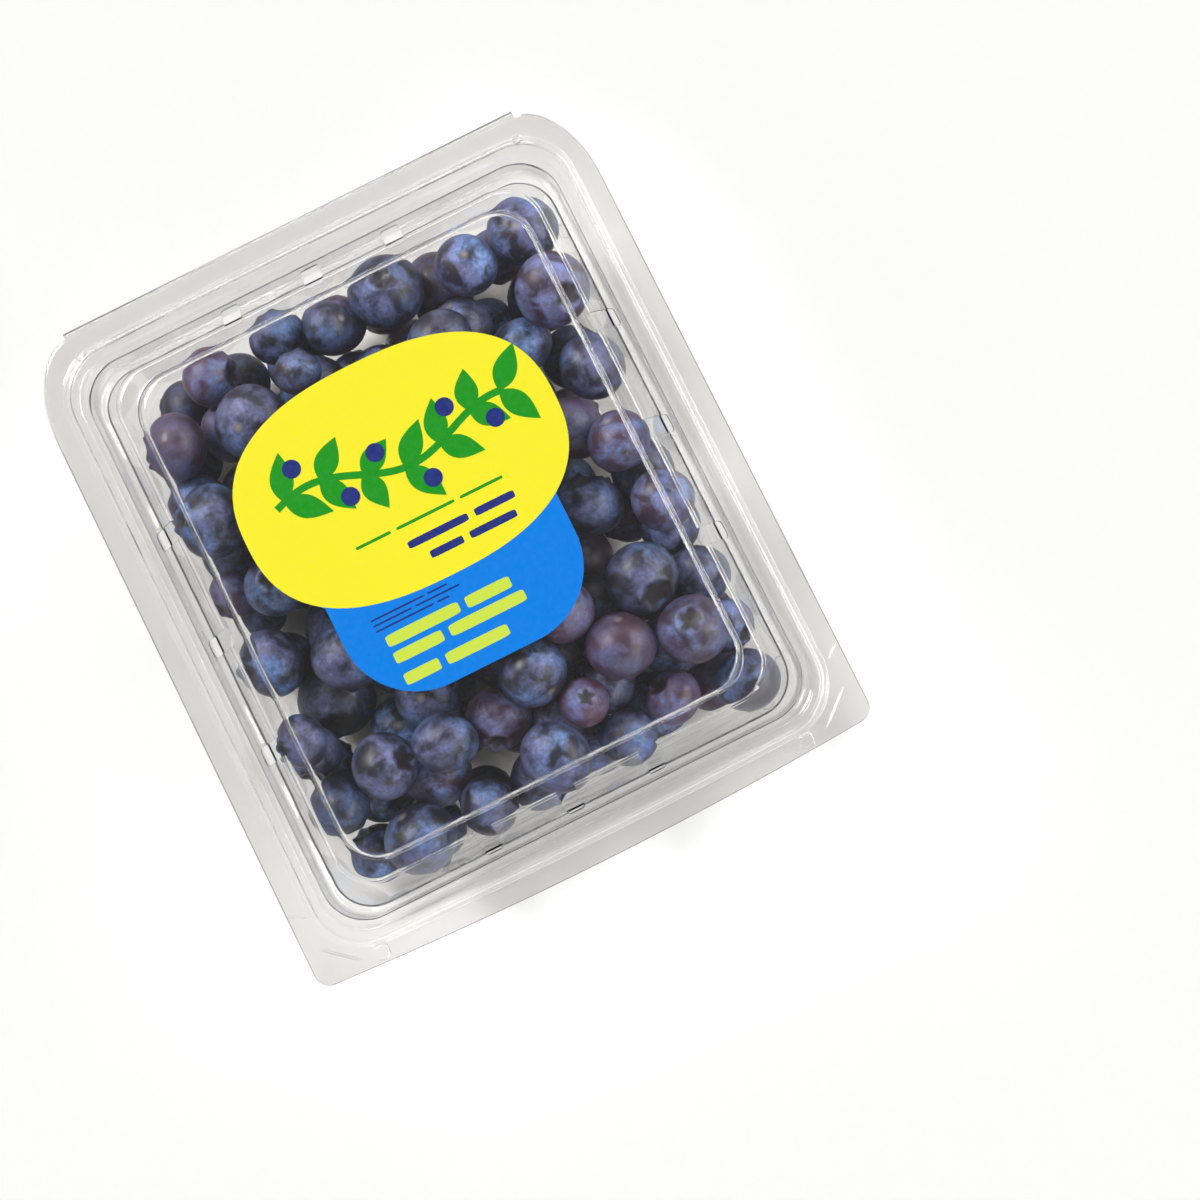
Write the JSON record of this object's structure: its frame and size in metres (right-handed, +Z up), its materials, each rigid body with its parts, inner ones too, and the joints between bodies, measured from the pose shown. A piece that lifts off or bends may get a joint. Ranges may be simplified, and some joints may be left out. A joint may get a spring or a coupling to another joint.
{
  "type": "clamshell pack of blueberries",
  "caption": "Clear hinged plastic clamshell, shut over a heap of fresh blueberries, with vent slots and a die-cut label on its lid.",
  "frame": {"origin": "on the ground under the middle of the tray", "axes": "+Z up, X along the hinge, +Y towards the hinge, -Y towards the front edge that opens"},
  "size_m": [0.116, 0.1361, 0.0364],
  "materials": {
    "clear_sheet": "clear gloss",
    "berry_skin": "waxy bloom",
    "label_film": "satin print"
  },
  "bodies": {
    "base": {"tray": "clear_sheet", "berries": "berry_skin"},
    "cover": {"lid": "clear_sheet", "label": "label_film"}
  },
  "joints": [
    {"name": "lid_hinge", "type": "hinge", "parent": "base", "child": "cover", "pos_m": [0, 0.068, 0.025], "axis": [-1, 0, 0], "range_deg": [0, 180]}
  ]
}
